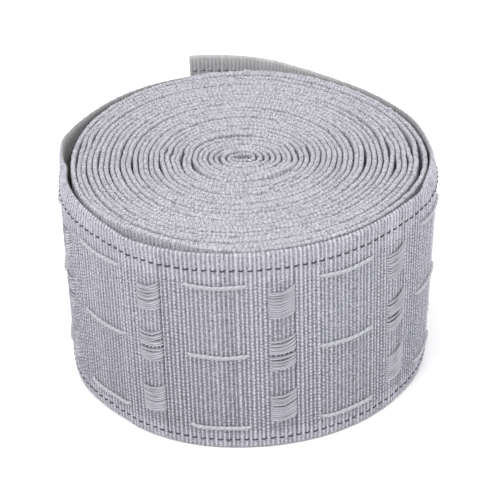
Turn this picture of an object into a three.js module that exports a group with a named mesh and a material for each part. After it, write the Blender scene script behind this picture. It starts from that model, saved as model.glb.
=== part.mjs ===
// Roll of woven curtain heading tape, standing on one selvedge, with its outermost turn loose.
// The tape is wound round the vertical axis. Seen from above it grows anticlockwise, and its cut
// end flares away from the roll at the back. Millimetres, +Z up, the camera's side is -Y.
import * as THREE from "three";

// The tape
const TAPE_WIDTH = 75;
const TAPE_THICKNESS = 1.5;
const SEAT_GAP = 0.3;
const START_CLEAR = 0.5;

// The wound roll
const ROLL_TURNS = 31;
const FIRST_TURN = 1;
const STEPS_PER_TURN = 36;
const GROOVE_DEPTH = 1.6;
const SHOULDER_DROP = 0.5;
const INNER_FOLD = 2.4;
const BUNDLE_RADIUS = 15;
const BUNDLE_TILT = 1.4;
const WAVE_HEIGHT = 0.25;

// Where the outermost turn leaves the roll, in degrees anticlockwise from +X
const LEAVES_AT = 108;
const FULL_TURN = 360;

// The last turn of the roll: radius of its outer face at each angle
const ROLL_OUTLINE = [
  { angle: 108, radius: 54.6 },
  { angle: 127, radius: 55.4 },
  { angle: 150, radius: 55.6 },
  { angle: 170, radius: 55.4 },
  { angle: 183, radius: 55.0 },
  { angle: 208, radius: 54.6 },
  { angle: 231, radius: 54.0 },
  { angle: 253, radius: 53.9 },
  { angle: 270, radius: 53.7 },
  { angle: 285, radius: 53.5 },
  { angle: 305, radius: 54.8 },
  { angle: 325, radius: 56.0 },
  { angle: 344, radius: 57.4 },
  { angle: 362, radius: 57.4 },
  { angle: 380, radius: 57.0 },
  { angle: 402, radius: 55.8 },
  { angle: 420, radius: 55.6 },
  { angle: 440, radius: 56.2 },
  { angle: 468, radius: 56.4 },
];

// The loose turn: radius of its outer face at the foot, at the guide thread and at the top edge.
// The strip above the guide thread leans in at the left and right, where it is creased.
const LOOSE_OUTLINE = [
  { angle: -252, foot: 56.4, guide: 56.4, edge: 56.4 },
  { angle: -240, foot: 57.3, guide: 57.3, edge: 57.3 },
  { angle: -228, foot: 58.2, guide: 58.2, edge: 58.2 },
  { angle: -209, foot: 59.3, guide: 59.4, edge: 59.3 },
  { angle: -194, foot: 60.3, guide: 60.5, edge: 60.6 },
  { angle: -187, foot: 60.1, guide: 60.3, edge: 59.6 },
  { angle: -181, foot: 59.7, guide: 59.9, edge: 58.4 },
  { angle: -177, foot: 59.5, guide: 59.7, edge: 57.1 },
  { angle: -169, foot: 59.3, guide: 59.4, edge: 57.6 },
  { angle: -158, foot: 58.8, guide: 58.8, edge: 57.2 },
  { angle: -147, foot: 57.6, guide: 57.6, edge: 56.9 },
  { angle: -137, foot: 56.8, guide: 57.0, edge: 57.1 },
  { angle: -129, foot: 57.0, guide: 57.4, edge: 58.1 },
  { angle: -118, foot: 56.8, guide: 57.1, edge: 57.6 },
  { angle: -107, foot: 56.4, guide: 56.5, edge: 56.8 },
  { angle: -94, foot: 55.8, guide: 55.8, edge: 55.9 },
  { angle: -80, foot: 55.8, guide: 55.8, edge: 55.6 },
  { angle: -67, foot: 56.3, guide: 56.3, edge: 56.2 },
  { angle: -54, foot: 57.0, guide: 57.0, edge: 57.1 },
  { angle: -40, foot: 57.9, guide: 58.0, edge: 58.1 },
  { angle: -30, foot: 58.6, guide: 59.6, edge: 59.6 },
  { angle: -24, foot: 59.2, guide: 60.9, edge: 60.9 },
  { angle: -17, foot: 59.5, guide: 62.0, edge: 60.8 },
  { angle: -8, foot: 59.8, guide: 62.5, edge: 61.3 },
  { angle: 0, foot: 59.9, guide: 62.3, edge: 61.5 },
  { angle: 9, foot: 59.8, guide: 61.4, edge: 61.1 },
  { angle: 20, foot: 59.4, guide: 60.5, edge: 60.6 },
  { angle: 34, foot: 58.6, guide: 58.9, edge: 58.9 },
  { angle: 47, foot: 58.3, guide: 58.4, edge: 58.4 },
  { angle: 58, foot: 58.9, guide: 58.9, edge: 58.9 },
  { angle: 70, foot: 61.2, guide: 61.2, edge: 61.2 },
  { angle: 82, foot: 65.2, guide: 65.2, edge: 65.2 },
  { angle: 94, foot: 68.3, guide: 68.3, edge: 68.3 },
  { angle: 104.5, foot: 70.7, guide: 70.7, edge: 70.7 },
];

// Heights on the tape, from the selvedge it stands on
const GUIDE_HEIGHT = 69;
const CORD_ROWS = [
  { name: "top", height: 63.4 },
  { name: "middle", height: 37.0 },
  { name: "bottom", height: 9.0 },
];
const POCKET_ROWS = [
  { low: 51.4, high: 60.6 },
  { low: 36.6, high: 41.2 },
  { low: 30.2, high: 34.8 },
  { low: 10.3, high: 20.0 },
];

// The pattern along the tape, measured along its outer face from the roll's front
const REPEAT = 42.1;
const FIRST_CORD = -145.9;
const CORD_SHOWS = 20.35;
const CORD_COUNT = 9;
const CORD_END_CLEAR = 1.5;
const FIRST_POCKET = -160.9;
const POCKET_LENGTH = 8.0;
const POCKET_COUNT = 9;
const POCKET_RISE = 0.5;
const POCKET_RIM = 0.5;

// The draw cords
const CORD_DIAMETER = 1.3;
const CORD_SIDES = 6;
const CORD_STEPS = 8;
const CORD_SAG = 0.6;

// The grid on the loose turn
const LONGEST_STEP = 7;
const ANGLE_STEP = 0.25;

const tapeCloth = { color: 0xdcdce3, roughness: 0.95, metalness: 0 };
const cordYarn = { color: 0xe9e8e6, roughness: 0.85, metalness: 0 };

const radians = (degrees) => (degrees * Math.PI) / 180;

// A smooth curve through the rows of a table: cubic pieces whose slope at each row is that
// of the line between its two neighbours.
function along(table, angle, column) {
  const last = table.length - 1;
  let i = 0;
  while (i < last - 1 && angle > table[i + 1].angle) i += 1;
  const slope = (k) => {
    const a = table[Math.max(k - 1, 0)];
    const b = table[Math.min(k + 1, last)];
    return (b[column] - a[column]) / (b.angle - a.angle);
  };
  const span = table[i + 1].angle - table[i].angle;
  const u = (angle - table[i].angle) / span;
  const h00 = 2 * u ** 3 - 3 * u ** 2 + 1;
  const h10 = u ** 3 - 2 * u ** 2 + u;
  const h01 = 1 - h00;
  const h11 = u ** 3 - u ** 2;
  return (
    h00 * table[i][column] +
    h10 * span * slope(i) +
    h01 * table[i + 1][column] +
    h11 * span * slope(i + 1)
  );
}

// Collects points and quads of one closed body.
class Skin {
  constructor() {
    this.points = [];
    this.faces = [];
  }
  point(x, y, z) {
    this.points.push(x, y, z);
    return this.points.length / 3 - 1;
  }
  triangle(a, b, c) {
    if (a !== b && b !== c && c !== a) this.faces.push(a, b, c);
  }
  quad(a, b, c, d) {
    this.triangle(a, b, c);
    this.triangle(a, c, d);
  }
  geometry() {
    const geometry = new THREE.BufferGeometry();
    geometry.setAttribute("position", new THREE.Float32BufferAttribute(this.points, 3));
    geometry.setIndex(this.faces);
    geometry.computeVertexNormals();
    return geometry;
  }
}

function addMesh(group, name, geometry, finish) {
  const mesh = new THREE.Mesh(geometry, new THREE.MeshStandardMaterial(finish));
  mesh.name = name;
  group.add(mesh);
}

// Radius of the winding's outer face after so many turns from the middle. The turns grow in
// step with the last one's outline, round a flat fold that lies along X.
function windingRadius(turns) {
  const part = turns - Math.ceil(turns) + 1;
  const angle = LEAVES_AT + FULL_TURN * part;
  const grown = turns / ROLL_TURNS;
  const lastTurn = (ROLL_TURNS - 1 + part) / ROLL_TURNS;
  const fold = INNER_FOLD * (1 - grown) ** 2 * Math.cos(radians(angle)) ** 2;
  return (grown / lastTurn) * along(ROLL_OUTLINE, angle, "radius") + fold;
}

// Height of the wound top: the bundle in the middle is tipped, low at the back and high at
// the front, and the turns round it rise and fall a little.
function topHeight(turns, radius) {
  const angle = radians(LEAVES_AT + FULL_TURN * turns);
  const inBundle = 1 / (1 + (radius / BUNDLE_RADIUS) ** 8);
  const tip = -BUNDLE_TILT * Math.sin(angle) * inBundle;
  const wave = WAVE_HEIGHT * Math.sin(2 * angle + turns) * (1 - inBundle);
  return TAPE_WIDTH + tip + wave;
}

// The wound roll is one body. A ridge along the middle of each turn and a groove between the
// turns run round its top as one spiral, which ends in a step as thick as the tape.
function woundRoll() {
  const skin = new Skin();
  const middle = skin.point(0, 0, TAPE_WIDTH - GROOVE_DEPTH);
  const foot = skin.point(0, 0, 0);
  const first = FIRST_TURN * STEPS_PER_TURN;
  const last = ROLL_TURNS * STEPS_PER_TURN;
  const wallStart = last - STEPS_PER_TURN;
  const ridge = [];
  const groove = [];
  const base = [];
  for (let i = first; i <= last; i += 1) {
    const turns = i / STEPS_PER_TURN;
    const angle = radians(LEAVES_AT + FULL_TURN * turns);
    const outer = windingRadius(turns);
    const inner = turns > FIRST_TURN ? windingRadius(turns - 1) : 0;
    const crest = (outer + inner) / 2;
    const top = topHeight(turns, crest);
    const isWall = i > wallStart;
    const drop = isWall ? SHOULDER_DROP : GROOVE_DEPTH;
    ridge[i] = skin.point(crest * Math.cos(angle), crest * Math.sin(angle), top);
    groove[i] = skin.point(outer * Math.cos(angle), outer * Math.sin(angle), top - drop);
    if (i >= wallStart) base[i] = skin.point(outer * Math.cos(angle), outer * Math.sin(angle), 0);
  }
  const innerGroove = (i) => (i - STEPS_PER_TURN < first ? middle : groove[i - STEPS_PER_TURN]);
  for (let i = first + 1; i <= last; i += 1) {
    skin.quad(innerGroove(i - 1), ridge[i - 1], ridge[i], innerGroove(i));
    skin.quad(ridge[i - 1], groove[i - 1], groove[i], ridge[i]);
  }
  skin.triangle(middle, groove[first], ridge[first]);
  for (let i = wallStart + 1; i <= last; i += 1) {
    skin.quad(groove[i - 1], base[i - 1], base[i], groove[i]);
    skin.triangle(foot, base[i], base[i - 1]);
  }
  // The step that the loose turn starts from
  skin.triangle(groove[wallStart], ridge[last], groove[last]);
  skin.quad(groove[last], base[last], base[wallStart], groove[wallStart]);
  skin.triangle(foot, base[wallStart], base[last]);
  return skin.geometry();
}

// The plan curve of the loose turn at its guide thread, as fine steps of angle with the
// length run along it, counted from the roll's front.
function measureLooseTurn() {
  const start = LOOSE_OUTLINE[0].angle;
  const end = LOOSE_OUTLINE[LOOSE_OUTLINE.length - 1].angle;
  const steps = Math.round((end - start) / ANGLE_STEP);
  const rows = [];
  let run = 0;
  for (let i = 0; i <= steps; i += 1) {
    const angle = start + i * ANGLE_STEP;
    const radius = along(LOOSE_OUTLINE, angle, "guide");
    const x = radius * Math.cos(radians(angle));
    const y = radius * Math.sin(radians(angle));
    if (i > 0) run += Math.hypot(x - rows[i - 1].x, y - rows[i - 1].y);
    rows.push({ angle, x, y, run });
  }
  const front = rows.reduce((a, b) => (Math.abs(b.angle + 90) < Math.abs(a.angle + 90) ? b : a));
  const zero = front.run;
  rows.forEach((row) => {
    row.run -= zero;
  });
  return rows;
}

const looseTurn = measureLooseTurn();
const LOOSE_START = looseTurn[0].run;
const LOOSE_END = looseTurn[looseTurn.length - 1].run;

// Angle and outward direction of the loose turn after a length along it.
function stationAt(length) {
  let i = 1;
  while (i < looseTurn.length - 1 && looseTurn[i].run < length) i += 1;
  const a = looseTurn[i - 1];
  const b = looseTurn[i];
  const u = (length - a.run) / (b.run - a.run);
  const chord = Math.hypot(b.x - a.x, b.y - a.y);
  return {
    angle: a.angle + u * (b.angle - a.angle),
    outX: (b.y - a.y) / chord,
    outY: -(b.x - a.x) / chord,
  };
}

// A point of the loose turn, so far along it and so high, and so far out from its outer face.
function loosePoint(length, height, out) {
  const { angle, outX, outY } = stationAt(length);
  const foot = along(LOOSE_OUTLINE, angle, "foot");
  const guide = along(LOOSE_OUTLINE, angle, "guide");
  const edge = along(LOOSE_OUTLINE, angle, "edge");
  const lean = (height - GUIDE_HEIGHT) / (TAPE_WIDTH - GUIDE_HEIGHT);
  const rise = height / GUIDE_HEIGHT;
  const radius = height > GUIDE_HEIGHT ? guide + lean * (edge - guide) : foot + rise * (guide - foot);
  return new THREE.Vector3(
    radius * Math.cos(radians(angle)) + out * outX,
    radius * Math.sin(radians(angle)) + out * outY,
    height,
  );
}

// Adds stops between neighbours that lie further apart than the longest step.
function filled(stops, longest) {
  const full = [stops[0]];
  for (let i = 1; i < stops.length; i += 1) {
    const parts = Math.ceil((stops[i] - stops[i - 1]) / longest);
    for (let k = 1; k <= parts; k += 1) {
      full.push(stops[i - 1] + ((stops[i] - stops[i - 1]) * k) / parts);
    }
  }
  return full;
}

function looseColumns() {
  const stops = [LOOSE_START + START_CLEAR];
  for (let k = 0; k < POCKET_COUNT; k += 1) {
    const from = FIRST_POCKET + k * REPEAT;
    const to = from + POCKET_LENGTH;
    stops.push(from, from + POCKET_RIM, to - POCKET_RIM, to);
  }
  stops.push(LOOSE_END);
  return filled(stops, LONGEST_STEP);
}

function looseRows() {
  const stops = [0];
  [...POCKET_ROWS].reverse().forEach(({ low, high }) => {
    stops.push(low, low + POCKET_RIM, high - POCKET_RIM, high);
  });
  stops.push(GUIDE_HEIGHT, TAPE_WIDTH);
  return stops;
}

// How far the satin threads over a pocket stand out from the tape's face.
function pocketRise(length, height) {
  const past = (length - FIRST_POCKET) % REPEAT;
  const tiny = 1e-6;
  const inColumn = past > POCKET_RIM - tiny && past < POCKET_LENGTH - POCKET_RIM + tiny;
  const inRow = POCKET_ROWS.some(
    ({ low, high }) => height > low + POCKET_RIM - tiny && height < high - POCKET_RIM + tiny,
  );
  return length > FIRST_POCKET && inColumn && inRow ? POCKET_RISE : 0;
}

// The loose turn is a sheet: an outer face with the pocket threads raised on it, a plain
// inner face, and four narrow edges between them.
function looseSheet() {
  const skin = new Skin();
  const columns = looseColumns();
  const outerRows = looseRows();
  const innerRows = [0, GUIDE_HEIGHT, TAPE_WIDTH];
  const add = (length, height, out) => skin.point(...loosePoint(length, height, out).toArray());
  const outer = columns.map((s) => outerRows.map((h) => add(s, h, pocketRise(s, h))));
  const inner = columns.map((s) => innerRows.map((h) => add(s, h, -TAPE_THICKNESS)));
  const top = outerRows.length - 1;
  const innerTop = innerRows.length - 1;
  for (let i = 1; i < columns.length; i += 1) {
    for (let j = 1; j <= top; j += 1) {
      skin.quad(outer[i - 1][j - 1], outer[i][j - 1], outer[i][j], outer[i - 1][j]);
    }
    for (let j = 1; j <= innerTop; j += 1) {
      skin.quad(inner[i - 1][j - 1], inner[i - 1][j], inner[i][j], inner[i][j - 1]);
    }
    skin.quad(outer[i - 1][0], inner[i - 1][0], inner[i][0], outer[i][0]);
    skin.quad(outer[i - 1][top], outer[i][top], inner[i][innerTop], inner[i - 1][innerTop]);
  }
  closeEnd(skin, outer[0], inner[0], outerRows, innerRows, false);
  closeEnd(skin, outer[columns.length - 1], inner[columns.length - 1], outerRows, innerRows, true);
  return skin.geometry();
}

// Fills one cut end between the outer face's column of points and the inner face's.
function closeEnd(skin, outer, inner, outerRows, innerRows, turned) {
  const face = (a, b, c) => (turned ? skin.triangle(a, c, b) : skin.triangle(a, b, c));
  let j = 0;
  for (let i = 1; i < outer.length; i += 1) {
    face(outer[i - 1], outer[i], inner[j]);
    if (outerRows[i] >= innerRows[j + 1]) {
      face(outer[i], inner[j + 1], inner[j]);
      j += 1;
    }
  }
}

// A draw cord where it shows: a soft tube that lies on the outer face and sags a little.
function cordTube(from, to, height) {
  const points = [];
  for (let i = 0; i <= CORD_STEPS; i += 1) {
    const u = i / CORD_STEPS;
    const sag = CORD_SAG * 4 * u * (1 - u);
    points.push(loosePoint(from + u * (to - from), height - sag, SEAT_GAP + CORD_DIAMETER / 2));
  }
  const section = new THREE.Shape();
  for (let k = 0; k < CORD_SIDES; k += 1) {
    const turn = radians((FULL_TURN * (k + 0.5)) / CORD_SIDES);
    const x = (CORD_DIAMETER / 2) * Math.cos(turn);
    const y = (CORD_DIAMETER / 2) * Math.sin(turn);
    if (k === 0) section.moveTo(x, y);
    else section.lineTo(x, y);
  }
  section.closePath();
  return new THREE.ExtrudeGeometry(section, {
    steps: CORD_STEPS,
    extrudePath: new THREE.CatmullRomCurve3(points),
  });
}

const winding = new THREE.Group();
addMesh(winding, "wound_roll", woundRoll(), tapeCloth);
addMesh(winding, "loose_turn", looseSheet(), tapeCloth);
CORD_ROWS.forEach(({ name, height }) => {
  for (let k = 0; k < CORD_COUNT; k += 1) {
    const from = FIRST_CORD + k * REPEAT;
    const to = Math.min(from + CORD_SHOWS, LOOSE_END - CORD_END_CLEAR);
    addMesh(winding, `draw_cord_${name}_${k + 1}`, cordTube(from, to, height), cordYarn);
  }
});

// The origin is under the middle of the whole roll's outline.
const box = new THREE.Box3().setFromObject(winding, true);
winding.position.set(-(box.min.x + box.max.x) / 2, -(box.min.y + box.max.y) / 2, 0);

const roll = new THREE.Group();
roll.add(winding);

export default roll;
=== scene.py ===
"""Roll of woven curtain heading tape with a loose outer turn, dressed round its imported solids."""

import bpy
import numpy as np
from mathutils import Matrix, Vector


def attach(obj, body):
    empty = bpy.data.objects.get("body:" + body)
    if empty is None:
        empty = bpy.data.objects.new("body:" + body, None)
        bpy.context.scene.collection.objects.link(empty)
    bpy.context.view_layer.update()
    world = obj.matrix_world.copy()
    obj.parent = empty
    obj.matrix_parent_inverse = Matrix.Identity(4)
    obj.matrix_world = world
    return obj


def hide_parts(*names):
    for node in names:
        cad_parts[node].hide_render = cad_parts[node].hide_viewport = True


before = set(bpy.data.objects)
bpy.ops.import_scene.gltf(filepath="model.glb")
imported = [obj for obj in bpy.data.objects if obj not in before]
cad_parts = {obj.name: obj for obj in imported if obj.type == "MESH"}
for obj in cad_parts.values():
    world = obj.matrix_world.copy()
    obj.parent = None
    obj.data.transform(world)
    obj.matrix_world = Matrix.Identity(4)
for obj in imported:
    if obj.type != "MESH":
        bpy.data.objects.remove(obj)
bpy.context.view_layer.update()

# Everything below is in millimetres until a mesh is made.
MM = 0.001
rng = np.random.default_rng(7)

# The tape
TAPE_WIDTH = 75.0
THICKNESS = 1.5
ROLL_TURNS = 31
FIRST_TURN = 1.35
LEAVES_AT = 108.0
WINDING_AXIS = np.array([-0.956, -6.451])

# The weave, along the tape: one repeat of cords and pockets holds a whole number of ribs
REPEAT = 42.1
RIBS_PER_REPEAT = 30
RIB_PITCH = REPEAT / RIBS_PER_REPEAT
RIBS_WANDER = 0.06
FIRST_POCKET = -162.1
POCKET_RIBS = 6
POCKET_COUNT = 9
FIRST_CORD = -145.9
CORD_SHOWS = 20.35
CORD_COUNT = 9

# The weave, up the tape
GUIDE_HEIGHTS = {"top": 69.0, "bottom": 3.7}
CORD_HEIGHTS = {"top": 63.4, "middle": 37.0, "bottom": 9.0}
POCKET_BLOCKS = (
    {"low": 51.2, "high": 60.4, "threads": 10, "climb_low": 1.7, "climb_high": 2.0},
    {"low": 37.4, "high": 42.2, "threads": 5, "climb_low": 1.0, "climb_high": 2.0},
    {"low": 31.2, "high": 35.9, "threads": 5, "climb_low": 1.7, "climb_high": 1.2},
    {"low": 11.0, "high": 20.7, "threads": 11, "climb_low": 1.4, "climb_high": 1.9},
)

# The last turn of the roll: radius of its outer face at each angle
ROLL_OUTLINE = {
    "angle": [108, 127, 150, 170, 183, 208, 231, 253, 270, 285,
              305, 325, 344, 362, 380, 402, 420, 440, 468],
    "radius": [54.6, 55.4, 55.6, 55.2, 54.9, 54.9, 54.8, 54.5, 54.0, 53.6,
               54.8, 56.1, 57.7, 57.9, 57.3, 55.9, 55.6, 56.2, 56.4],
}

# The loose turn: radius of its outer face at the foot, at the guide thread and at the top edge.
# The first row lies on the wound tape, before the loose turn starts
LOOSE_FROM = -252.0
LOOSE_OUTLINE = {
    "angle": [-282, -252, -240, -228, -209, -194, -187, -181, -177, -169, -158, -147, -137,
              -129, -118, -107, -94, -80, -67, -54, -40, -30, -24, -17, -8,
              0, 9, 20, 34, 47, 58, 70, 82, 94, 104.5],
    "foot": [56.1, 56.4, 57.3, 58.2, 59.1, 59.7, 59.5, 59.2, 59.1, 59.1, 58.8, 57.6, 56.8,
             57.0, 56.8, 56.4, 55.8, 55.8, 56.3, 57.0, 57.9, 58.6, 59.2, 59.5, 59.8,
             59.9, 59.8, 59.4, 58.6, 58.3, 58.9, 61.2, 65.2, 68.3, 70.7],
    "guide": [56.1, 56.4, 57.3, 58.1, 59.0, 59.5, 59.3, 59.1, 59.0, 59.1, 58.8, 57.6, 57.0,
              57.4, 57.1, 56.5, 55.8, 55.8, 56.3, 57.0, 58.0, 59.6, 60.9, 62.0, 62.5,
              62.3, 61.4, 60.5, 58.9, 58.4, 58.9, 61.2, 65.2, 68.3, 70.7],
    "edge": [56.1, 56.4, 57.3, 58.2, 59.3, 60.6, 59.6, 58.4, 57.1, 57.6, 57.2, 56.9, 57.1,
             58.1, 57.6, 56.8, 55.9, 55.6, 56.2, 57.1, 58.1, 59.6, 60.8, 60.5, 60.9,
             61.1, 60.7, 60.4, 58.9, 58.4, 58.9, 61.2, 65.2, 68.3, 70.7],
}

# Gaps between turns: the turn inside the gap, the angle of its middle, how far it reaches
# either way in degrees, and how far it pushes the turn outside it out and the one inside it in
LENS_GAPS = (
    {"turn": 29.2, "angle": 172, "reach": 18, "out": 0.1, "in": 0.7},
    {"turn": 28.2, "angle": 169, "reach": 9, "out": 0.2, "in": 0.3},
    {"turn": 27.2, "angle": 163, "reach": 8, "out": 0.4, "in": 0.1},
    {"turn": 25.2, "angle": 178, "reach": 10, "out": 0.1, "in": 0.2},
    {"turn": 21.2, "angle": 171, "reach": 8, "out": 0.2, "in": 0.1},
    {"turn": 19.2, "angle": 184, "reach": 11, "out": 0.3, "in": 0.3},
    {"turn": 14.2, "angle": 192, "reach": 15, "out": 0.2, "in": 0.4},
    {"turn": 13.2, "angle": 168, "reach": 8, "out": 0.2, "in": 0.3},
    {"turn": 12.2, "angle": 171, "reach": 9, "out": 0.1, "in": 0.4},
    {"turn": 10.2, "angle": 176, "reach": 18, "out": 0.2, "in": 0.35},
    {"turn": 8.2, "angle": 203, "reach": 28, "out": 0.3, "in": 0.6},
    {"turn": 8.7, "angle": 12, "reach": 30, "out": 0.3, "in": 0.6},
    {"turn": 10.7, "angle": 8, "reach": 20, "out": 0.2, "in": 0.4},
    {"turn": 18.7, "angle": 15, "reach": 12, "out": 0.1, "in": 0.3},
    {"turn": 20.7, "angle": -7, "reach": 14, "out": 0.1, "in": 0.3},
    {"turn": 24.7, "angle": 4, "reach": 11, "out": 0.6, "in": 0.2},
    {"turn": 25.7, "angle": -11, "reach": 10, "out": 0.5, "in": 0.2},
    {"turn": 27.7, "angle": -5, "reach": 6, "out": 0.4, "in": 0.1},
    {"turn": 28.7, "angle": 7, "reach": 16, "out": 0.6, "in": 0.4},
    {"turn": 29.7, "angle": 1, "reach": 18, "out": 0.0, "in": 0.5},
)
GAP_FADES_OVER = 4.0

# Turns whose top edge stands above or below its neighbours
UNEVEN_TURNS = (
    {"turn": 9.0, "angle": 115, "reach": 60, "rise": 0.8},
    {"turn": 7.6, "angle": 100, "reach": 55, "rise": -0.5},
    {"turn": 8.3, "angle": -42, "reach": 42, "rise": 1.3},
    {"turn": 9.4, "angle": -42, "reach": 42, "rise": -0.5},
    {"turn": 30.4, "angle": 236, "reach": 42, "rise": 2.0},
    {"turn": 13.3, "angle": 200, "reach": 40, "rise": 0.5},
    {"turn": 24.8, "angle": 20, "reach": 40, "rise": 0.5},
    {"turn": 27.9, "angle": 60, "reach": 50, "rise": -0.5},
)

INNER_FOLD = 2.4
FOLD_GROWS_OVER = 4.0
INNER_EYE = 1.1
EYE_FADES_OVER = 5.0
PACKED_OUTWARDS = 0.3
PACKED_ROUND = 0.87
PACKED_REACH = 0.27
CENTRE_SHIFT = np.array([0.25, -0.8])
SLACK_AT_SIDES = 0.07
SLACK_WAVES_PER_TURN = (0.37, 0.46)
UNEVEN_EDGES = 0.12
UNEVEN_WAVES_PER_TURN = (0.41, 0.33)
UNEVEN_REACH = 0.9
BUNDLE_RADIUS = 15.0
BUNDLE_TILT = 1.4
WAVE_HEIGHT = 0.2


def along(table, column, angle):
    """Smooth curve through a table: cubic pieces, whose slope at a row is that of the line
    between the row's two neighbours."""
    x = np.array(table["angle"], float)
    y = np.array(table[column], float)
    before = np.maximum(np.arange(len(x)) - 1, 0)
    after = np.minimum(np.arange(len(x)) + 1, len(x) - 1)
    slope = (y[after] - y[before]) / (x[after] - x[before])
    k = np.clip(np.searchsorted(x, angle, side="right") - 1, 0, len(x) - 2)
    span = x[k + 1] - x[k]
    u = (angle - x[k]) / span
    h00 = 2 * u**3 - 3 * u**2 + 1
    h10 = u**3 - 2 * u**2 + u
    h11 = u**3 - u**2
    return h00 * y[k] + h10 * span * slope[k] + (1 - h00) * y[k + 1] + h11 * span * slope[k + 1]


def wrapped(degrees):
    """The same direction, as an angle between -180 and 180 degrees."""
    return (degrees + 180.0) % 360.0 - 180.0


def hill(distance, reach):
    """A smooth hill: one in the middle, and nothing beyond the reach."""
    return np.cos(np.clip(distance / reach, -1, 1) * np.pi / 2) ** 2


def two_waves(turns, waves_per_turn, shift):
    """The sum of two sines, each with its own number of waves to a turn, the second shifted."""
    first, second = waves_per_turn
    return np.sin(2 * np.pi * first * turns) + np.sin(2 * np.pi * second * turns + shift)


def winding_radius(turns):
    """Radius of the winding's middle line: it grows with the number of turns in step with the
    last turn's outline, round a small eye, drawn out along X. At the sides the outer turns are
    packed outwards and the others lie a little closer or further apart, and each gap pushes
    the turns outside it outwards and those inside it inwards, less and less from turn to
    turn."""
    part = turns - np.ceil(turns) + 1
    angle = LEAVES_AT + 360.0 * part
    grown = turns / ROLL_TURNS
    last_turn = (ROLL_TURNS - 1 + part) / ROLL_TURNS
    side = np.cos(np.radians(angle)) ** 2
    inside_last = np.clip(ROLL_TURNS - 1 + part - turns, 0, 1)
    radius = grown / last_turn * along(ROLL_OUTLINE, "radius", angle)
    fold = INNER_FOLD * (1 - grown) ** 2 * (1 - np.exp(-((turns / FOLD_GROWS_OVER) ** 2)))
    radius = radius + fold * side
    radius = radius + INNER_EYE * np.exp(-turns / EYE_FADES_OVER)
    packed = PACKED_OUTWARDS * hill(grown - PACKED_ROUND, PACKED_REACH)
    radius = radius + packed * side**2 * inside_last
    slack = two_waves(turns, SLACK_WAVES_PER_TURN, 1.0)
    radius = radius + SLACK_AT_SIDES * slack * side * np.clip(ROLL_TURNS - turns, 0, 1)
    for gap in LENS_GAPS:
        off = wrapped(angle - gap["angle"])
        centre = gap["turn"] + wrapped(gap["angle"] - LEAVES_AT - 360 * gap["turn"]) / 360
        outside = turns - (centre + off / 360)
        push = np.where(
            outside > 0.5,
            gap["out"] * np.exp(-np.maximum(outside - 1, 0) / GAP_FADES_OVER) * inside_last,
            -gap["in"] * np.exp(np.minimum(outside, 0) / GAP_FADES_OVER),
        )
        radius = radius + push * hill(off, gap["reach"])
    return radius - THICKNESS / 2


def winding_top(turns, radius):
    """Height of a turn's top edge: the bundle in the middle is tipped, low at the back, the
    turns rise and fall a little, and some stand proud or sunk for a stretch."""
    angle = np.radians(LEAVES_AT + 360.0 * turns)
    in_bundle = 1 / (1 + (radius / BUNDLE_RADIUS) ** 8)
    height = TAPE_WIDTH - BUNDLE_TILT * radius / BUNDLE_RADIUS * np.sin(angle) * in_bundle
    height = height + WAVE_HEIGHT * np.sin(2 * angle + turns) * (1 - in_bundle)
    height = height + UNEVEN_EDGES * two_waves(turns, UNEVEN_WAVES_PER_TURN, 2.0)
    for uneven in UNEVEN_TURNS:
        off = wrapped(np.degrees(angle) - uneven["angle"])
        near_turn = hill(turns - uneven["turn"], UNEVEN_REACH)
        height = height + uneven["rise"] * hill(off, uneven["reach"]) * near_turn
    return height


def ribs_between(start, end, steps):
    """Stations along the tape from start to end, in millimetres, with so many steps to a rib.
    Returns the stations, each one's rib number with its fraction, and how near it is to the
    rib's crest: nothing in the valley and one on the crest, as a sine cubed."""
    first = np.floor((start - FIRST_POCKET) / RIB_PITCH)
    last = np.ceil((end - FIRST_POCKET) / RIB_PITCH)
    ribs = np.arange(first, last + 1)
    borders = FIRST_POCKET + RIB_PITCH * (ribs + rng.normal(0, RIBS_WANDER, len(ribs)))
    phase = np.arange(steps) / steps
    stations = (borders[:-1, None] + np.diff(borders)[:, None] * phase).ravel()
    number = (ribs[:-1, None] + phase).ravel()
    crest = np.sin(np.pi * np.tile(phase, len(ribs) - 1)) ** 3
    inside = (stations >= start) & (stations <= end)
    return stations[inside], number[inside], crest[inside]


def per_rib(number, spread):
    """One random value for each rib, the same for all stations on it."""
    ribs = np.floor(number).astype(int)
    ribs = ribs - ribs.min()
    return rng.normal(0, spread, ribs.max() + 1)[ribs]


def mesh_object(name, points, faces, uv, materials, face_material=None):
    """A mesh piece from points in millimetres, quads (with -1 as a triangle's fourth corner)
    and a UV value for each point."""
    counts = np.where(faces[:, 3] < 0, 3, 4)
    corners = faces.ravel()
    corners = corners[corners >= 0].astype(np.int32)
    mesh = bpy.data.meshes.new(name)
    mesh.vertices.add(len(points))
    mesh.vertices.foreach_set("co", (points * MM).astype(np.float32).ravel())
    mesh.loops.add(len(corners))
    mesh.loops.foreach_set("vertex_index", corners)
    mesh.polygons.add(len(faces))
    starts = np.concatenate([[0], np.cumsum(counts)[:-1]]).astype(np.int32)
    mesh.polygons.foreach_set("loop_start", starts)
    mesh.polygons.foreach_set("use_smooth", np.ones(len(faces), bool))
    for material in materials:
        mesh.materials.append(material)
    if face_material is not None:
        mesh.polygons.foreach_set("material_index", face_material.astype(np.int32))
    layer = mesh.uv_layers.new(name="weave")
    layer.data.foreach_set("uv", uv[corners].astype(np.float32).ravel())
    mesh.update(calc_edges=True)
    mesh.validate()
    piece = bpy.data.objects.new(name, mesh)
    bpy.context.scene.collection.objects.link(piece)
    return piece


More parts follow.
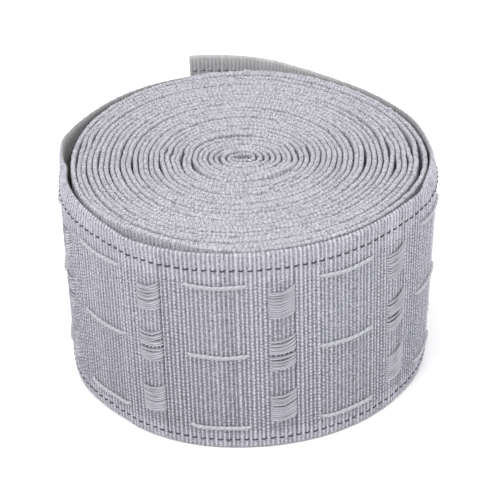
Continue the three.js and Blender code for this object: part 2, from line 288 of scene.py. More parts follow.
def skin_faces(stations, around):
    """Quads of a tube-like skin of stations by around points, with a fan of triangles on each
    end round one more point, so that the body is closed."""
    i = np.arange(stations - 1)[:, None]
    j = np.arange(around)[None, :]
    k = (j + 1) % around
    wall = np.stack([i * around + j, (i + 1) * around + j, (i + 1) * around + k, i * around + k], -1)
    ring = np.arange(around)
    following = (ring + 1) % around
    none = np.full(around, -1)
    far = (stations - 1) * around
    start_cap = np.stack([np.full(around, stations * around), ring, following, none], -1)
    end_cap = np.stack([np.full(around, stations * around + 1), far + following, far + ring, none], -1)
    return np.concatenate([wall.reshape(-1, 4), start_cap, end_cap])


def facing_out(points, faces):
    """The same faces turned so that the volume they enclose counts as positive."""
    a, b, c = (points[faces[:, n]] for n in range(3))
    volume = np.einsum("ij,ij->", a, np.cross(b, c))
    quads = faces[:, 3] >= 0
    d = points[faces[quads, 3]]
    volume += np.einsum("ij,ij->", a[quads], np.cross(c[quads], d))
    if volume >= 0:
        return faces
    turned = faces[:, [2, 1, 0, 3]].copy()
    turned[quads] = faces[quads][:, [3, 2, 1, 0]]
    return turned


def closed_skin(name, grid, uv, materials, face_material=None):
    """A closed piece from grid[station, around] points; each end is closed by a fan round its
    middle. face_material gives the material of each strip round the profile, either for all
    stations or for each."""
    stations, around = grid.shape[:2]
    points = np.concatenate([grid.reshape(-1, 3), grid[:1].mean(1), grid[-1:].mean(1)])
    values = np.concatenate([uv.reshape(-1, 2), uv[:1].mean(1), uv[-1:].mean(1)])
    faces = facing_out(points, skin_faces(stations, around))
    index = None
    if face_material is not None:
        index = np.zeros(len(faces))
        each = np.broadcast_to(face_material, (stations - 1, around))
        index[: each.size] = each.ravel()
    return mesh_object(name, points, faces, values, materials, index)


# Materials

def new_material(name, roughness, sheen=0.0):
    """A matt material, with its node tree and its shader; sheen is for fibres."""
    material = bpy.data.materials.new(name)
    material.use_nodes = True
    shader = material.node_tree.nodes["Principled BSDF"]
    shader.inputs["Roughness"].default_value = roughness
    shader.inputs["Specular IOR Level"].default_value = 0.25
    if sheen:
        shader.inputs["Sheen Weight"].default_value = sheen
        shader.inputs["Sheen Roughness"].default_value = 0.5
    return material, material.node_tree, shader


class Signal:
    """A value that nodes work out. Arithmetic on it adds the math nodes that do it."""

    def __init__(self, wires, socket):
        self.wires = wires
        self.socket = socket

    def __add__(self, other):
        return self.wires.math("ADD", self, other)

    def __sub__(self, other):
        return self.wires.math("SUBTRACT", self, other)

    def __rsub__(self, other):
        return self.wires.math("SUBTRACT", other, self)

    def __mul__(self, other):
        return self.wires.math("MULTIPLY", self, other)

    def __truediv__(self, other):
        return self.wires.math("DIVIDE", self, other)


class Wires:
    """Short calls that add a node to a tree, set its values and join it up."""

    def __init__(self, tree):
        self.tree = tree

    def node(self, kind, **values):
        """A new node of a kind, with its settings."""
        made = self.tree.nodes.new(kind)
        for key, value in values.items():
            setattr(made, key, value)
        return made

    def put(self, socket, value):
        """Joins a signal to a socket, or sets the socket to a plain value."""
        if isinstance(value, Signal):
            self.tree.links.new(value.socket, socket)
        else:
            socket.default_value = value

    def math(self, operation, a, b=0.0, clamp=False):
        """What one operation makes of one or two values."""
        made = self.node("ShaderNodeMath", operation=operation, use_clamp=clamp)
        self.put(made.inputs[0], a)
        self.put(made.inputs[1], b)
        return Signal(self, made.outputs[0])

    def clamped(self, value):
        """The value, kept between nothing and one."""
        return self.math("ADD", value, 0.0, clamp=True)

    def wave(self, cycles):
        """A sine with one wave for each whole number."""
        return self.math("SINE", cycles * (2 * np.pi))

    def step(self, value, start, end):
        """Nothing at start and one at end, with a smooth rise between them."""
        made = self.node("ShaderNodeMapRange", interpolation_type="SMOOTHSTEP")
        self.put(made.inputs["Value"], value)
        made.inputs["From Min"].default_value = start
        made.inputs["From Max"].default_value = end
        return Signal(self, made.outputs[0])

    def between(self, value, low, high, soft):
        """One between low and high, nothing outside, with soft borders."""
        return self.step(value, low - soft, low + soft) * self.step(value, high + soft, high - soft)

    def noise(self, vector, scale, detail):
        """Smooth noise from nothing to one; the scale is its number of blots to a unit."""
        made = self.node("ShaderNodeTexNoise")
        self.put(made.inputs["Vector"], vector)
        made.inputs["Scale"].default_value = scale
        made.inputs["Detail"].default_value = detail
        return Signal(self, made.outputs["Fac"])

    def random(self, number):
        """One random value for each number."""
        made = self.node("ShaderNodeTexWhiteNoise", noise_dimensions="1D")
        self.put(made.inputs["W"], number)
        return Signal(self, made.outputs["Value"])

    def mix(self, factor, a, b):
        """Colour a where the factor is nothing, colour b where it is one, and shares between."""
        made = self.node("ShaderNodeMix", data_type="RGBA")
        self.put(made.inputs["Factor"], factor)
        self.put(made.inputs["A"], a)
        self.put(made.inputs["B"], b)
        return Signal(self, made.outputs["Result"])

    def vector(self, x, y):
        """A vector from two values; its third is nothing."""
        made = self.node("ShaderNodeCombineXYZ")
        self.put(made.inputs["X"], x)
        self.put(made.inputs["Y"], y)
        return Signal(self, made.outputs[0])

    def bump(self, height, strength, distance):
        """Directions of a surface that rises by the height times the distance."""
        made = self.node("ShaderNodeBump")
        made.inputs["Strength"].default_value = strength
        made.inputs["Distance"].default_value = distance
        self.put(made.inputs["Height"], height)
        return Signal(self, made.outputs[0])

    def weave_place(self):
        """The piece's own two values: along the weave, and up it or round the yarn."""
        uv = self.node("ShaderNodeUVMap", uv_map="weave")
        split = self.node("ShaderNodeSeparateXYZ")
        self.tree.links.new(uv.outputs["UV"], split.inputs[0])
        return Signal(self, split.outputs[0]), Signal(self, split.outputs[1])

    def object_place(self):
        """The place on the piece, in metres."""
        return Signal(self, self.node("ShaderNodeTexCoord").outputs["Object"])


# Zones of the weave: the first two in ribs along the repeat, the others in height up the tape
IN_POCKET = {"low": 0.0, "high": POCKET_RIBS, "soft": 0.3}
OVER_CORD = {"low": 13.0, "high": 24.5, "soft": 2.5}
PANEL = {"low": GUIDE_HEIGHTS["bottom"] + 2.0, "high": GUIDE_HEIGHTS["top"] - 3.5, "soft": 2.0}
# On the wound turns' walls the ribs are painted lighter, as painted light where the turns around them
# shade the walls
WALL_PAINTED_LIGHTER = {"low": -1.0, "high": 73.0, "soft": 0.7}
TOP_EDGE = {"low": 73.8, "high": 76.9, "soft": 0.4}

HUMP_SHARPNESS = 3.5
BEAD_PITCH = 1.3
BEAD_WANDERS = 1.6
WANDER_SCALE = {"along": 0.3, "up": 0.25}
BEAD_SET_OFF = 0.6
BEAD_SHARPNESS = 1.4
BEAD_DEPTH = 0.76
PANEL_CONTRAST = 1.31
PANEL_MIDDLE = 42.0
LIGHTER_UPWARDS = 0.003
PLAINER = {"in_pocket": 0.25, "over_cord": 0.3}
WEAKER = {"in_pocket": 0.4, "over_cord": 0.42}
BASE_TONE = 0.52
BASE_LESS_SWING = 0.42
PANEL_DARKER = 0.27
PANEL_LESS_SWING = 0.17
OVER_CORD_LIGHTER = 0.02
OVER_CORD_FLECK = 0.1
BLOTCHES = 0.35
BLOTCH_SCALE = {"along": 0.8, "up": 0.45}
RIBS_DIFFER = 0.12
# How much of its colour the inner face keeps where it is painted with shade
GAP_SHADE = 0.58
BUMP_STRENGTH = 0.8
BUMP_HEIGHT = 0.3 * MM


def rib_relief(w, rib, height, own, in_pocket, panel, over_cord):
    """How high the threads of a rib lie: a hump across the rib, cut along it into beads that are
    set off from rib to rib and wander a little. In a pocket column, and where a draw cord runs
    inside the tape, the beads and the whole rib are fainter."""
    hump = w.math("POWER", w.math("SINE", w.math("FRACT", rib) * np.pi), HUMP_SHARPNESS)
    there = w.vector(rib * WANDER_SCALE["along"], height * WANDER_SCALE["up"])
    wander = w.noise(there, 1.0, 2.0)
    bead = w.wave(height / BEAD_PITCH + wander * BEAD_WANDERS + own * BEAD_SET_OFF) * 0.5 + 0.5
    plainer = in_pocket * PLAINER["in_pocket"] + over_cord * PLAINER["over_cord"]
    beaded = panel * (1.0 - plainer)
    cut = (1.0 - w.math("POWER", bead, BEAD_SHARPNESS)) * BEAD_DEPTH
    weaker = over_cord * WEAKER["over_cord"] + in_pocket * panel * WEAKER["in_pocket"]
    return hump * (1.0 - beaded * cut) * (1.0 - weaker)


def woven_tape(name, valley, ridge, beads, swing, loops, fleck, fleck_per_metre, shade_fades_over=None):
    """Narrow ribs across the tape with wide valleys between them, and threads seen as a fine
    speckle. Between the guide threads each rib is a chain of beads; in the borders it is plain.
    The colour follows the relief: valleys and the dips between beads are painted dark, as painted
    shade, and crests light, as painted highlight. beads is how much of the panel's own look there
    is, swing how much lighter a rib is painted than a valley, loops how much the threads that turn
    round the wound tape's top edge show and, doubled, how much lighter the ribs on the wound
    turns' walls are painted, as painted light, and fleck how strong the speckle is.
    The last argument gives the ribs between which painted shade on the tape fades out."""
    material, tree, shader = new_material(name, 0.8, sheen=0.1)
    w = Wires(tree)
    rib, height = w.weave_place()
    own = w.random(w.math("FLOOR", rib)) - 0.5
    in_repeat = w.math("FLOORED_MODULO", rib, float(RIBS_PER_REPEAT))
    in_pocket = w.between(in_repeat, **IN_POCKET)
    panel = w.between(height, **PANEL) * beads
    over_cord = w.between(in_repeat, **OVER_CORD) * panel
    relief = rib_relief(w, rib, height, own, in_pocket, panel, over_cord)

    flecks = w.noise(w.object_place(), fleck_per_metre, 1.0) - 0.5
    speckle = flecks * (over_cord * OVER_CORD_FLECK + fleck)
    there = w.vector(rib * BLOTCH_SCALE["along"], height * BLOTCH_SCALE["up"])
    blotch = w.noise(there, 1.0, 2.0) - 0.5
    loop = w.wave(rib * 2.0 + height * 0.6) * loops * w.between(height, **TOP_EDGE)
    # Painted light: loops, doubled, makes the ribs on the wound turns' walls lighter
    contrast = panel * (PANEL_CONTRAST - swing) + swing + w.between(height, **WALL_PAINTED_LIGHTER) * (loops * 2)
    darker = panel * (PANEL_DARKER - swing * PANEL_LESS_SWING)
    base = (BASE_TONE - swing * BASE_LESS_SWING) - darker + over_cord * OVER_CORD_LIGHTER
    base = base + (height - PANEL_MIDDLE) * LIGHTER_UPWARDS * panel
    tone = base + relief * contrast + speckle + loop + blotch * BLOTCHES + own * RIBS_DIFFER
    # Painted shade and highlight: the relief sets the colour, dark in the valleys and between beads,
    # light on the crests
    colour = w.mix(w.clamped(tone), valley, ridge)
    # Painted shade: before the given ribs the colour is darkened, as shade in the gap between the roll
    # and the loose turn, and after them it is left as it is
    if shade_fades_over:
        shaded = w.mix(GAP_SHADE, (0.0, 0.0, 0.0, 1), colour)
        colour = w.mix(w.step(rib, *shade_fades_over), shaded, colour)
    w.put(shader.inputs["Base Color"], colour)
    high = relief * (contrast + 0.1) + speckle * 0.35
    w.put(shader.inputs["Normal"], w.bump(high, BUMP_STRENGTH, BUMP_HEIGHT))
    return material


def twisted_yarn(name, dark, light, plies_per_mm, crown_light=0.0):
    """Yarn whose plies run round it in a helix: stripes across the UV's diagonal, with fibres.
    The last argument is how much lighter its outward side is painted than its flanks: painted
    highlight on the side facing out and painted shade on the flanks."""
    material, tree, shader = new_material(name, 0.7, sheen=0.2)
    w = Wires(tree)
    length, around = w.weave_place()
    spiral = length * plies_per_mm + around * 2.0
    ply = w.math("ABSOLUTE", w.math("SINE", spiral * np.pi))
    fibres = w.noise(w.vector(length * 2.0, spiral * 6.0), 1.0, 3.0)
    # Painted light: the side of the yarn facing out is painted lighter and its flanks darker
    facing = w.math("MAXIMUM", w.math("COSINE", around * (2 * np.pi)), 0.0)
    tone = ply * (0.6 * (1 - crown_light)) + fibres * 0.45 + w.math("POWER", facing, 3.0) * crown_light
    w.put(shader.inputs["Base Color"], w.mix(w.clamped(tone), dark, light))
    w.put(shader.inputs["Normal"], w.bump(ply + fibres * 0.4, 0.7, 0.2 * MM))
    return material


def plain_floor():
    """A matt material of one nearly white colour."""
    material, _, shader = new_material("pale_floor", 0.9)
    shader.inputs["Base Color"].default_value = (0.93, 0.93, 0.93, 1)
    return material


# On the inner face all but the last ribs before the cut end are painted darker: painted shade in the
# gap between the loose turn and the roll
GAP_SHADE_FADES = (205.0, 240.0)
# The valley colours are painted shade in the grooves, and the ridge colours painted highlight on the
# crests
TAPE_FACE = woven_tape(
    "tape_face", valley=(0.115, 0.115, 0.135, 1), ridge=(0.57, 0.565, 0.64, 1),
    beads=1.0, swing=0.5, loops=0.0, fleck=2.1, fleck_per_metre=3000.0)
TAPE_INSIDE = woven_tape(
    "tape_inside", valley=(0.27, 0.268, 0.27, 1), ridge=(0.50, 0.497, 0.51, 1),
    beads=0.3, swing=0.3, loops=0.0, fleck=1.4, fleck_per_metre=3000.0, shade_fades_over=GAP_SHADE_FADES)
TAPE_EDGE = woven_tape(
    "tape_edge", valley=(0.115, 0.115, 0.128, 1), ridge=(0.53, 0.526, 0.578, 1),
    beads=0.0, swing=0.2, loops=0.14, fleck=2.3, fleck_per_metre=2900.0)
CORD_YARN = twisted_yarn("cord_yarn", (0.25, 0.252, 0.275, 1), (0.48, 0.48, 0.52, 1), 0.45)
# The pocket threads are painted light on their crowns and with shade on their flanks
POCKET_YARN = twisted_yarn(
    "pocket_yarn", (0.07, 0.07, 0.08, 1), (0.53, 0.526, 0.594, 1), 0.15, crown_light=0.68)
GUIDE_YARN = twisted_yarn("guide_yarn", (0.003, 0.002, 0.003, 1), (0.016, 0.012, 0.015, 1), 1.2)


# The wound tape: the strip follows the true spiral

SPIRAL_FROM = 1.70
POINTS_PER_TURN = 540
INNER_END = np.array([-3.3, -0.35])
INNER_END_HEADS = np.array([2.4, -0.5])
INNER_END_MEETS = 1.9
INNER_END_POINTS = 60


def winding_path():
    """Fine points of the winding's middle line: turns, length run and place. The tape's inner
    end crosses the middle in a cubic curve led by four points, and the spiral goes on from it."""
    turns = np.linspace(SPIRAL_FROM, ROLL_TURNS, int((ROLL_TURNS - SPIRAL_FROM) * POINTS_PER_TURN))
    angle = np.radians(LEAVES_AT + 360.0 * turns)
    radius = winding_radius(turns)
    spiral = np.stack([radius * np.cos(angle), radius * np.sin(angle)], -1)
    heading = (spiral[1] - spiral[0]) / np.linalg.norm(spiral[1] - spiral[0])
    u = np.linspace(0, 1, INNER_END_POINTS)[:-1, None]
    inner = (
        (1 - u) ** 3 * INNER_END
        + 3 * (1 - u) ** 2 * u * (INNER_END + INNER_END_HEADS)
        + 3 * (1 - u) * u**2 * (spiral[0] - INNER_END_MEETS * heading)
        + u**3 * spiral[0]
    )
    turns = np.concatenate([np.linspace(FIRST_TURN, SPIRAL_FROM, INNER_END_POINTS)[:-1], turns])
    place = np.concatenate([inner, spiral])
    place = place + CENTRE_SHIFT * (1 - turns[:, None] / ROLL_TURNS) ** 2
    run = np.concatenate([[0], np.cumsum(np.hypot(*np.diff(place, axis=0).T))])
    return turns, run, place


# The strip's profile, up its outer face, over the top and down its inner face: how far out from
# its middle, as a share of its half thickness; how far down from the top edge and how far up from
# the foot, as shares of their roundings; and the way run round it
PROFILE = {
    "out": np.array([1.0, 1.0, 0.93, 0.6, 0.0, -0.6, -0.93, -1.0, -1.0, -0.7, 0.0, 0.7]),
    "drop": np.array([0.0, 1.6, 0.8, 0.22, 0.0, 0.22, 0.8, 1.6, 0.0, 0.0, 0.0, 0.0]),
    "foot": np.array([1.0, 0.0, 0.0, 0.0, 0.0, 0.0, 0.0, 0.0, 1.0, 0.25, 0.0, 0.25]),
    "run": np.array([0.9, 73.6, 74.2, 74.7, 75.3, 75.9, 76.4, 77.0, 149.6, 150.2, 150.8, 0.3]),
}
IS_TOP = (PROFILE["run"] > 73.0) & (PROFILE["run"] < 78.0)
IS_OUTER_FACE = np.arange(len(IS_TOP)) == 0
EDGE_ROUNDING = 0.5
FOOT_ROUNDING = 0.9
CREST_THICKNESS = 1.8
VALLEY_THICKNESS = 1.6
THINNER_AT_SIDES = 0.21
THINNER_IN_CENTRE = 0.5
CENTRE_TURNS = 3.0
PRESSED_IN = 0.01
TOP_SCALLOP = 0.12
FOOT_SCALLOP = 0.3
RIBS_STAND_OFF = 0.04
RIBS_STAND_UP = 0.13
STEPS_PER_RIB = 5
TINY = 1e-9

# The last turn leans out at the right, and its outer face shows behind the cut end
LEAN = {"angle": -6, "reach": 38, "out": 1.2}
LEANS_FROM = ROLL_TURNS - 0.5
FACE_SHOWS_FROM = 30.9
# Length of tape from the start of the loose turn to the front of the roll
LOOSE_STARTS_AT = 164.0

WOUND_PIECES = ("wound_tape_inner", "wound_tape_middle", "wound_tape_outer")
CUT_AT_TURNS = (FIRST_TURN, 17.0, 24.8, ROLL_TURNS)


def half_room(turns):
    """Half the distance to the nearer of the two neighbouring turns."""
    here = winding_radius(turns)
    out = winding_radius(np.minimum(turns + 1, ROLL_TURNS)) - here
    into = here - winding_radius(np.maximum(turns - 1, SPIRAL_FROM))
    out = np.where(turns > ROLL_TURNS - 1, THICKNESS * 2, out)
    into = np.where(turns < SPIRAL_FROM + 1, THICKNESS * 2, into)
    return np.minimum(out, into) / 2 + PRESSED_IN


def winding_piece(name, path, start, end):
    """A stretch of the wound strip: the profile is carried along the spiral, thicker and higher
    on each rib than in the valleys between them, so that its edge is a row of beads, and
    pressed thinner where its neighbours leave less room. It is a little thinner at the sides,
    where the winding is slack, and in the very middle. At the right the last turn leans out,
    more the higher it is, towards the loose turn."""
    turns, run, place = path
    stations, number, crest = ribs_between(start, end, STEPS_PER_RIB)
    stations = np.concatenate([[start], stations, [end]])
    number = np.concatenate([number[:1], number, number[-1:]])
    crest = np.concatenate([crest[:1], crest, crest[-1:]])
    at = np.interp(stations, run, turns)
    x = np.interp(stations, run, place[:, 0])
    y = np.interp(stations, run, place[:, 1])
    apart = stations + TINY * np.arange(len(stations))
    tangent = np.stack([np.gradient(x, apart), np.gradient(y, apart)], -1)
    tangent /= np.linalg.norm(tangent, axis=1)[:, None]
    normal = np.stack([tangent[:, 1], -tangent[:, 0]], -1)
    jitter = per_rib(number, RIBS_STAND_OFF)
    x = x + normal[:, 0] * jitter
    y = y + normal[:, 1] * jitter
    half = (VALLEY_THICKNESS + (CREST_THICKNESS - VALLEY_THICKNESS) * crest) / 2
    side = x**2 / (x**2 + y**2)
    half = half - THINNER_AT_SIDES / 2 * side**2 - THINNER_IN_CENTRE / 2 * np.exp(-at / CENTRE_TURNS)
    half = np.minimum(half, half_room(at))
    top = winding_top(at, np.hypot(x, y)) - TOP_SCALLOP * (1 - crest) + per_rib(number, RIBS_STAND_UP)
    foot = FOOT_SCALLOP * (1 - crest)
    lean_off = wrapped(np.degrees(np.arctan2(y, x)) - LEAN["angle"])
    lean = LEAN["out"] * hill(lean_off, LEAN["reach"]) * (at > LEANS_FROM)
    out = half[:, None] * PROFILE["out"] + lean[:, None] * IS_TOP
    z_top = top[:, None] - EDGE_ROUNDING * PROFILE["drop"]
    z_foot = foot[:, None] + FOOT_ROUNDING * PROFILE["foot"]
    grid = np.stack([
        WINDING_AXIS[0] + x[:, None] + out * normal[:, :1],
        WINDING_AXIS[1] + y[:, None] + out * normal[:, 1:],
        np.where(IS_TOP, z_top, z_foot),
    ], -1)
    # The ribs are counted so that the weave's repeat runs on into the loose turn's
    counted = number - round((run[-1] + LOOSE_STARTS_AT) / RIB_PITCH)
    uv = np.stack(np.broadcast_arrays(counted[:, None], PROFILE["run"]), -1)
    shows_face = (at[:-1, None] > FACE_SHOWS_FROM) & IS_OUTER_FACE
    return closed_skin(name, grid, uv, [TAPE_EDGE, TAPE_FACE], shows_face)


path = winding_path()
cuts = np.interp(CUT_AT_TURNS, path[0], path[1])
wound = [
    winding_piece(name, path, start, end)
    for name, start, end in zip(WOUND_PIECES, cuts[:-1], cuts[1:])
]
for piece in wound:
    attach(piece, "root")
    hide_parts("wound_roll")


# The loose turn

POINTS_PER_DEGREE = 4
FRONT = -90.0
START_CLEAR = 0.05
CREASE_HALF_WIDTH = 0.45


def loose_path():
    """Fine points of the outer face at the guide thread, on the loose turn and a little before
    it: angle, length run counted from the roll's front, and outward normal."""
    low, high = LOOSE_OUTLINE["angle"][0], LOOSE_OUTLINE["angle"][-1]
    angle = np.linspace(low, high, int((high - low) * POINTS_PER_DEGREE) + 1)
    radius = along(LOOSE_OUTLINE, "guide", angle)
    place = np.stack([radius * np.cos(np.radians(angle)), radius * np.sin(np.radians(angle))], -1)
    steps = np.diff(place, axis=0)
    run = np.concatenate([[0], np.cumsum(np.hypot(*steps.T))])
    run -= run[np.argmin(abs(angle - FRONT))]
    tangent = np.gradient(place, axis=0)
    tangent /= np.linalg.norm(tangent, axis=1)[:, None]
    return angle, run, np.stack([tangent[:, 1], -tangent[:, 0]], -1)


LOOSE_ANGLE, LOOSE_RUN, LOOSE_NORMAL = loose_path()
LOOSE_START = np.interp(LOOSE_FROM, LOOSE_ANGLE, LOOSE_RUN)
LOOSE_END = LOOSE_RUN[-1]


def loose_points(length, height, out):
    """Points of the loose turn, so far along it and so high, and so far out from its outer
    face. The face is straight from the foot to the guide thread and from there to the edge."""
    length, height, out = np.broadcast_arrays(length, height, out)
    angle = np.interp(length, LOOSE_RUN, LOOSE_ANGLE)
    foot, guide, edge = (along(LOOSE_OUTLINE, column, angle) for column in ("foot", "guide", "edge"))
    crease = GUIDE_HEIGHTS["top"]
    below = foot + height / crease * (guide - foot)
    above = guide + (height - crease) / (TAPE_WIDTH - crease) * (edge - guide)
    soft = 1 / (1 + np.exp(-(height - crease) / CREASE_HALF_WIDTH))
    radius = below + soft * (above - below)
    nx = np.interp(length, LOOSE_RUN, LOOSE_NORMAL[:, 0])
    ny = np.interp(length, LOOSE_RUN, LOOSE_NORMAL[:, 1])
    return np.stack([
        WINDING_AXIS[0] + radius * np.cos(np.radians(angle)) + out * nx,
        WINDING_AXIS[1] + radius * np.sin(np.radians(angle)) + out * ny,
        height,
    ], -1)


LOOSE_STEPS_PER_RIB = 6
FACE_CREST = 0.1
FACE_VALLEY = -0.2
INNER_RELIEF = 0.8
POCKET_RELIEF = 0.6
SLIT_DEPTH = 0.45
SLIT_AT = POCKET_RIBS + 0.05
SLIT_WIDTH = 0.22
EDGE_PROUD = 0.1
EDGE_SCALLOP = 0.42
EDGE_UNEVEN = 0.07
LOOSE_FOOT_SCALLOP = 0.28

# Heights of the rows of points on the two faces: close where they are creased or rounded
OUTER_ROWS = np.concatenate([
    [0.45, 1.0],
    np.linspace(2.0, 66.5, 32),
    [67.6, 68.4, 69.0, 69.6, 70.4, 71.6, 72.8, 73.6, 74.2, 74.7],
])
INNER_ROWS = np.array([
    74.7, 73.8, 71.6, 69.6, 69.0, 68.2, 62.0, 52.0, 40.0, 28.0, 16.0, 6.0, 1.0, 0.45,
])

# How far both faces are rounded in towards the foot and towards the edge
ROUNDED = {
    "height": [0.0, 0.45, 1.0, 2.0, 73.6, 74.2, 74.7, 75.0],
    "in": [0.5, 0.22, 0.07, 0.0, 0.0, 0.1, 0.32, 0.6],
}


def rounded_in(height):
    """How far in from its flat place a face lies, so high up: straight lines through ROUNDED."""
    return np.interp(height, ROUNDED["height"], ROUNDED["in"])


def loose_turn():
    """The loose turn as one closed strip. Its outer face has a row of points at each height and
    its inner face a few. The outer face stands out on the ribs and sinks in the valleys, less in
    the pocket columns, and sinks once more in a slit at the right of each column."""
    start, end = LOOSE_START + START_CLEAR, LOOSE_END
    stations, number, crest = ribs_between(start, end, LOOSE_STEPS_PER_RIB)
    rise = FACE_VALLEY + (FACE_CREST - FACE_VALLEY) * crest + per_rib(number, RIBS_STAND_OFF)
    in_repeat = number % RIBS_PER_REPEAT
    rise = rise * np.where(in_repeat < POCKET_RIBS, POCKET_RELIEF, 1.0)
    slit = SLIT_DEPTH * np.exp(-(((in_repeat - SLIT_AT) / SLIT_WIDTH) ** 2))
    has_slit = (OUTER_ROWS > GUIDE_HEIGHTS["bottom"]) & (OUTER_ROWS < GUIDE_HEIGHTS["top"])
    outer_out = rise[:, None] - slit[:, None] * has_slit - rounded_in(OUTER_ROWS)
    inner_out = rounded_in(INNER_ROWS) - THICKNESS - INNER_RELIEF * rise[:, None]
    top = TAPE_WIDTH + EDGE_PROUD - EDGE_SCALLOP * (1 - crest) + per_rib(number, EDGE_UNEVEN)
    foot = LOOSE_FOOT_SCALLOP * (1 - crest)
    middle = np.full((len(stations), 1), -THICKNESS / 2)
    outs = np.concatenate([outer_out, middle, inner_out, middle], 1)
    heights = np.concatenate([
        np.broadcast_to(OUTER_ROWS, outer_out.shape),
        top[:, None],
        np.broadcast_to(INNER_ROWS, inner_out.shape),
        foot[:, None],
    ], 1)
    grid = loose_points(stations[:, None], heights, outs)
    uv = np.stack([np.broadcast_to(number[:, None], heights.shape), heights], -1)
    strips = (np.arange(heights.shape[1]) >= len(OUTER_ROWS)).astype(int)
    return closed_skin("loose_tape", grid, uv, [TAPE_FACE, TAPE_INSIDE], strips)


loose = loose_turn()
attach(loose, "root")
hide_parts("loose_turn")


# Yarns that lie on the loose turn

def yarn(length, height, out, radius, around, flat=1.0, twist=0.0, lobes=0.0):
    """Tube of yarn: length, height and out give its middle line on the loose turn, radius its
    half thickness at each station, flat its depth against its width, and lobes how far its two
    plies stand out, turned by twist along the way."""
    middle = loose_points(length, height, out)
    tangent = np.gradient(middle, axis=0)
    tangent /= np.linalg.norm(tangent, axis=1)[:, None]
    outward = loose_points(length, height, out + 1.0) - middle
    outward -= np.einsum("ij,ij->i", outward, tangent)[:, None] * tangent
    outward /= np.linalg.norm(outward, axis=1)[:, None]
    side = np.cross(tangent, outward)
    turn = np.linspace(0, 2 * np.pi, around, endpoint=False)
    swell = 1 + lobes * np.cos(2 * (turn[None, :] - twist * np.arange(len(length))[:, None]))
    reach = radius[:, None] * swell
    grid = (
        middle[:, None]
        + outward[:, None] * (reach * np.cos(turn) * flat)[..., None]
        + side[:, None] * (reach * np.sin(turn))[..., None]
    )
    uv = np.stack(np.broadcast_arrays(length[:, None], turn[None, :] / (2 * np.pi)), -1)
    return grid, uv


def yarn_piece(name, strands, material):
    """One closed piece from several tubes of yarn."""
    points, values, faces, first = [], [], [], 0
    for grid, uv in strands:
        stations, around = grid.shape[:2]
        part = np.concatenate([grid.reshape(-1, 3), grid[:1].mean(1), grid[-1:].mean(1)])
        value = np.concatenate([uv.reshape(-1, 2), uv[:1].mean(1), uv[-1:].mean(1)])
        skin = facing_out(part, skin_faces(stations, around))
        faces.append(np.where(skin < 0, -1, skin + first))
        points.append(part)
        values.append(value)
        first += len(part)
    points, faces, values = [np.concatenate(parts) for parts in (points, faces, values)]
    return mesh_object(name, points, faces, values, [material])


CORD_STATIONS = 64
CORD_RADIUS = 0.62
CORD_THIN_END = 0.4
CORD_SAG = 0.6
CORD_SWAY = 0.12
CORD_DEPTH = 0.75
CORD_RISE = 1.1
CORD_RISES_OVER = 2.2
CORD_STOPS_SHORT = 1.5


def draw_cord(from_, to, height):
    """A draw cord where it shows: it comes up out of the weave, lies on the ribs, sags a
    little, and goes back in, thinner at both ends."""
    u = np.linspace(0, 1, CORD_STATIONS)
    length = from_ + u * (to - from_)
    ends = np.minimum(1, np.minimum(u, 1 - u) * (to - from_) / CORD_RISES_OVER)
    rise = np.sin(ends * np.pi / 2)
    level = height - CORD_SAG * 4 * u * (1 - u) + CORD_SWAY * np.sin(u * 9 + height)
    out = CORD_RISE * rise - CORD_DEPTH
    radius = CORD_RADIUS * (CORD_THIN_END + (1 - CORD_THIN_END) * rise**0.7)
    return yarn(length, level, out, radius, around=14, flat=0.9, twist=0.42, lobes=0.1)


# In each row the first stretch of cord, number nought, shows on the wound tape behind the cut end
cords, cords_on_roll = [], []
for row, height in CORD_HEIGHTS.items():
    for k in range(CORD_COUNT + 1):
        start = FIRST_CORD + (k - 1) * REPEAT
        end = min(start + CORD_SHOWS, LOOSE_END - CORD_STOPS_SHORT)
        cord = yarn_piece(f"cord_{row}_{k}", [draw_cord(start, end, height)], CORD_YARN)
        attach(cord, "root")
        if k == 0:
            cords_on_roll.append(cord)
        else:
            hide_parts(f"draw_cord_{row}_{k}")
            cords.append(cord)


THREAD_STATIONS = 20
THREAD_RADIUS = 0.46
THREAD_THIN_END = 0.7
THREAD_SAG = 0.3
MIDDLE_SAG = 0.5
THREAD_DEPTH = 0.5
THREAD_RISE = 0.72
THREAD_BULGE = 0.1
CLIMBS_FROM = 0.45
CLIMB_STEEPENS = 1.4
THREADS_DIFFER = {"sag": 0.13, "climb": 0.12, "rise": 0.09, "radius": 0.12}
RISES_OVER = 0.14
DIVES_OVER = 0.1
REACHES_SLIT = 0.2
BLOCK_MARGIN = 0.3
WEAVE_LENGTH = 500


